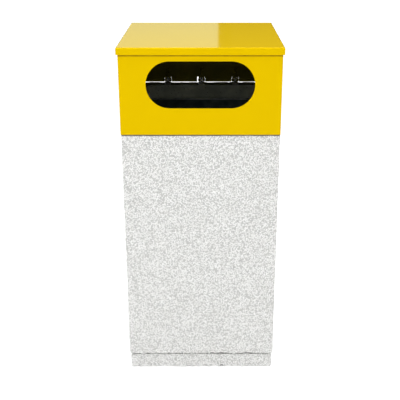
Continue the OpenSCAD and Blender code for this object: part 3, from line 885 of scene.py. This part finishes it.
def build_liner():
    """Liner walls with two pressed beads and a rim rolled outwards over its wire."""
    rim_r = 4 * MM
    rim_out = rim_r - LINER_SHEET - 0.3 * MM
    half_w = liner_high.x - rim_out - rim_r
    half_d = liner_high.y - rim_out - rim_r
    rim_z = liner_high.z - rim_r
    corner = 30 * MM
    profile = []
    for z in heights(liner_low.z, rim_z - 8 * MM, 12 * MM):
        bead = sum(math.exp(-((z - at) / (5 * MM)) ** 2) for at in (0.30, 0.62))
        profile.append((-LINER_SHEET + 2.2 * MM * bead, z, 1))
    profile.append((-LINER_SHEET, rim_z - 2 * MM, 0.3))
    for a in np.linspace(math.pi, -0.78 * math.pi, 22):
        profile.append((rim_out + rim_r * math.cos(a), rim_z + rim_r * math.sin(a), 0))
    rings = []
    for out, z, dent in profile:
        flat, normal = rounded_loop(half_w + out, half_d + out, corner + out, 20, 8)
        points = np.column_stack([flat, np.full(len(flat), z)])
        lump = (drift(points, 70 * MM, 41) - 0.5) * 2.4 * MM * dent
        rings.append(points + np.column_stack([normal, np.zeros(len(flat))]) * lump[:, None])
    n = len(rings[0])
    faces = [f[::-1] for f in ring_faces(len(rings), n, closed=False)]
    made = make_object("liner_walls", np.concatenate(rings), faces, [STAINED, GALVANISED])
    for face in made.data.polygons:
        if face.center.z > rim_z - 3 * MM:
            face.material_index = 1
    solid = made.modifiers.new("sheet", "SOLIDIFY")
    solid.thickness = LINER_SHEET
    solid.offset = -1
    solid.material_offset = 1
    apply_modifiers(made)
    shade(made, 50)
    adopt(made, "liner", "galvanised", "liner_shell")


# ---------------------------------------------------------------- carried-over nodes

CARRIED = {
    RUBBER: ["liner_pads", "rest_buffers"],
    NYLON: ["anchor_plugs"],
    RIVET: ["seam_rivets", "leaf_rivets"],
    # Painted shade: the rest brackets and hinge leaves take the dark olive of the hood's inside.
    INNER_PAINTED_SHADE: [
        "rest_bracket_left", "rest_bracket_right",
        "hood_leaf_left", "hood_leaf_centre", "hood_leaf_right",
    ],
    GALVANISED: ["rim_wire"],
    STAINED: ["liner_base"],
    ZINC: [
        "leaf_screws", "hinge_pins",
        "fixed_leaf_left", "fixed_leaf_centre", "fixed_leaf_right",
        "lid_studs", "lid_washers", "lid_nuts",
        "lugs_left", "lugs_right", "lug_rivets", "handle_left", "handle_right",
    ],
}


def dress_carried():
    """Gives each node that is shown as the CAD has it its finish."""
    for material, names in CARRIED.items():
        for name in names:
            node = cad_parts[name]
            node.data.materials.clear()
            node.data.materials.append(material)


# ---------------------------------------------------------------- floor, light and camera


def build_floor():
    """A pale floor that glows brighter far away, where it meets the wall."""
    def pale(graph):
        grain = graph.noise(0.4, detail=3)
        white = graph.mix(grain, (0.90, 0.90, 0.90), (0.92, 0.92, 0.92))
        place = {0: graph.place()}
        spread = graph.node("ShaderNodeVectorMath", {"operation": "LENGTH"}, place, out=1)
        glow = graph.mix(spread.above(1.6, 4), (0.50, 0.50, 0.50), (1, 1, 1))
        return {
            "Base Color": white,
            "Roughness": 0.9,
            "Emission Color": glow,
            "Emission Strength": 0.8,
        }

    size = 30
    corners = [(-size, -size, 0), (size, -size, 0), (size, size, 0), (-size, size, 0)]
    made = make_object("floor", corners, [(0, 1, 2, 3)], [finish_material("pale_floor", pale)])
    made.visible_glossy = False


def build_backdrop():
    """A pale wall all round, far off, that only the camera sees."""
    def pale(graph):
        cloud = graph.noise(5, detail=2)
        white = graph.mix(cloud, (0.98, 0.98, 0.98), (1, 1, 1))
        return {
            "Base Color": (0, 0, 0, 1),
            "Specular IOR Level": 0,
            "Emission Color": white,
            "Emission Strength": 1.03,
        }

    flat, _ = rounded_loop(29, 29, 28.9, 1, 24)
    rings = [np.column_stack([flat, np.full(len(flat), z)]) for z in (-1, 40)]
    faces = ring_faces(2, len(flat), closed=False)
    finish = finish_material("backdrop", pale)
    made = make_object("backdrop", np.concatenate(rings), faces, [finish])
    made.visible_diffuse = False
    made.visible_glossy = False
    made.visible_shadow = False
    made.visible_transmission = False


def area_light(name, place, aim, size, power):
    """A square lamp of that size in metres and power in watts, turned towards aim."""
    lamp = bpy.data.lights.new(name, "AREA")
    lamp.shape = "SQUARE"
    lamp.size = size
    lamp.energy = power
    made = bpy.data.objects.new(name, lamp)
    made.location = place
    made.rotation_euler = (Vector(aim) - Vector(place)).to_track_quat("-Z", "Y").to_euler()
    bpy.context.scene.collection.objects.link(made)
    return made


def build_world():
    """An even sky, with a bright and a dark card low behind the bin that the lid mirrors."""
    world = bpy.data.worlds.new("studio")
    world.use_nodes = True
    bpy.context.scene.world = world
    graph = Graph(world.node_tree)
    way = graph.node("ShaderNodeTexCoord", out=0)
    split = graph.node("ShaderNodeSeparateXYZ", {}, {"Vector": way})
    x, y, z = (Socket(graph, split.out.node.outputs[k]) for k in range(3))
    behind = y.above(0.2, 0.1)
    high_up = z.above(0.30, 0.25)
    card_edge = 0.0143
    gap_edge = 0.031
    right = (x - y * card_edge).above(0, 0.0015)
    gap = right * (1 - (x - y * gap_edge).above(0, 0.002))
    card = 0.50 * (1 - right) + 0.01 * right - 0.008 * gap
    sky = 0.30 + 0.15 * high_up
    low_sky = 0.30 * z.above(-0.02, 0.04)
    glow = behind * (card * (1 - high_up) + sky * high_up)
    glow = glow + (1 - behind) * (low_sky * (1 - high_up) + sky * high_up)
    below = z.above(-0.01, 0.01)
    tint = graph.mix(behind * (1 - high_up), (1, 1, 1), (0.62, 0.92, 1.0))
    light = graph.node("ShaderNodeBackground", {}, {"Color": tint, "Strength": glow * below + 0.03})
    graph.node("ShaderNodeOutputWorld", {}, {"Surface": light})


def build_camera():
    """A camera in front of the bin and above it, tilted down, with a shifted lens."""
    tilt_down = 20.179
    camera = bpy.data.cameras.new("camera")
    camera.sensor_width = 36
    camera.lens = 65.92
    camera.shift_x = -0.0178
    camera.shift_y = -0.06
    made = bpy.data.objects.new("camera", camera)
    made.location = (0.0181, -2.152, 1.3435)
    made.rotation_euler = (math.radians(90 - tilt_down), 0, 0)
    bpy.context.scene.collection.objects.link(made)
    bpy.context.scene.camera = made


def build_stage():
    """Floor, wall, sky, two lamps and the camera."""
    bpy.context.scene.view_settings.view_transform = "Standard"
    build_floor()
    build_backdrop()
    build_world()
    middle = (0, 0, 0.55)
    area_light("key", (-1.2, -3.2, 3.8), middle, 2.4, 69)
    top = area_light("top", (0.4, 0.2, 3.6), middle, 2.4, 79)
    top.visible_glossy = False
    build_camera()


build_stage()
build_body()
build_plinth()
build_mortar()
build_hood()
build_rear_panel()
build_lid()
build_liner()
dress_carried()
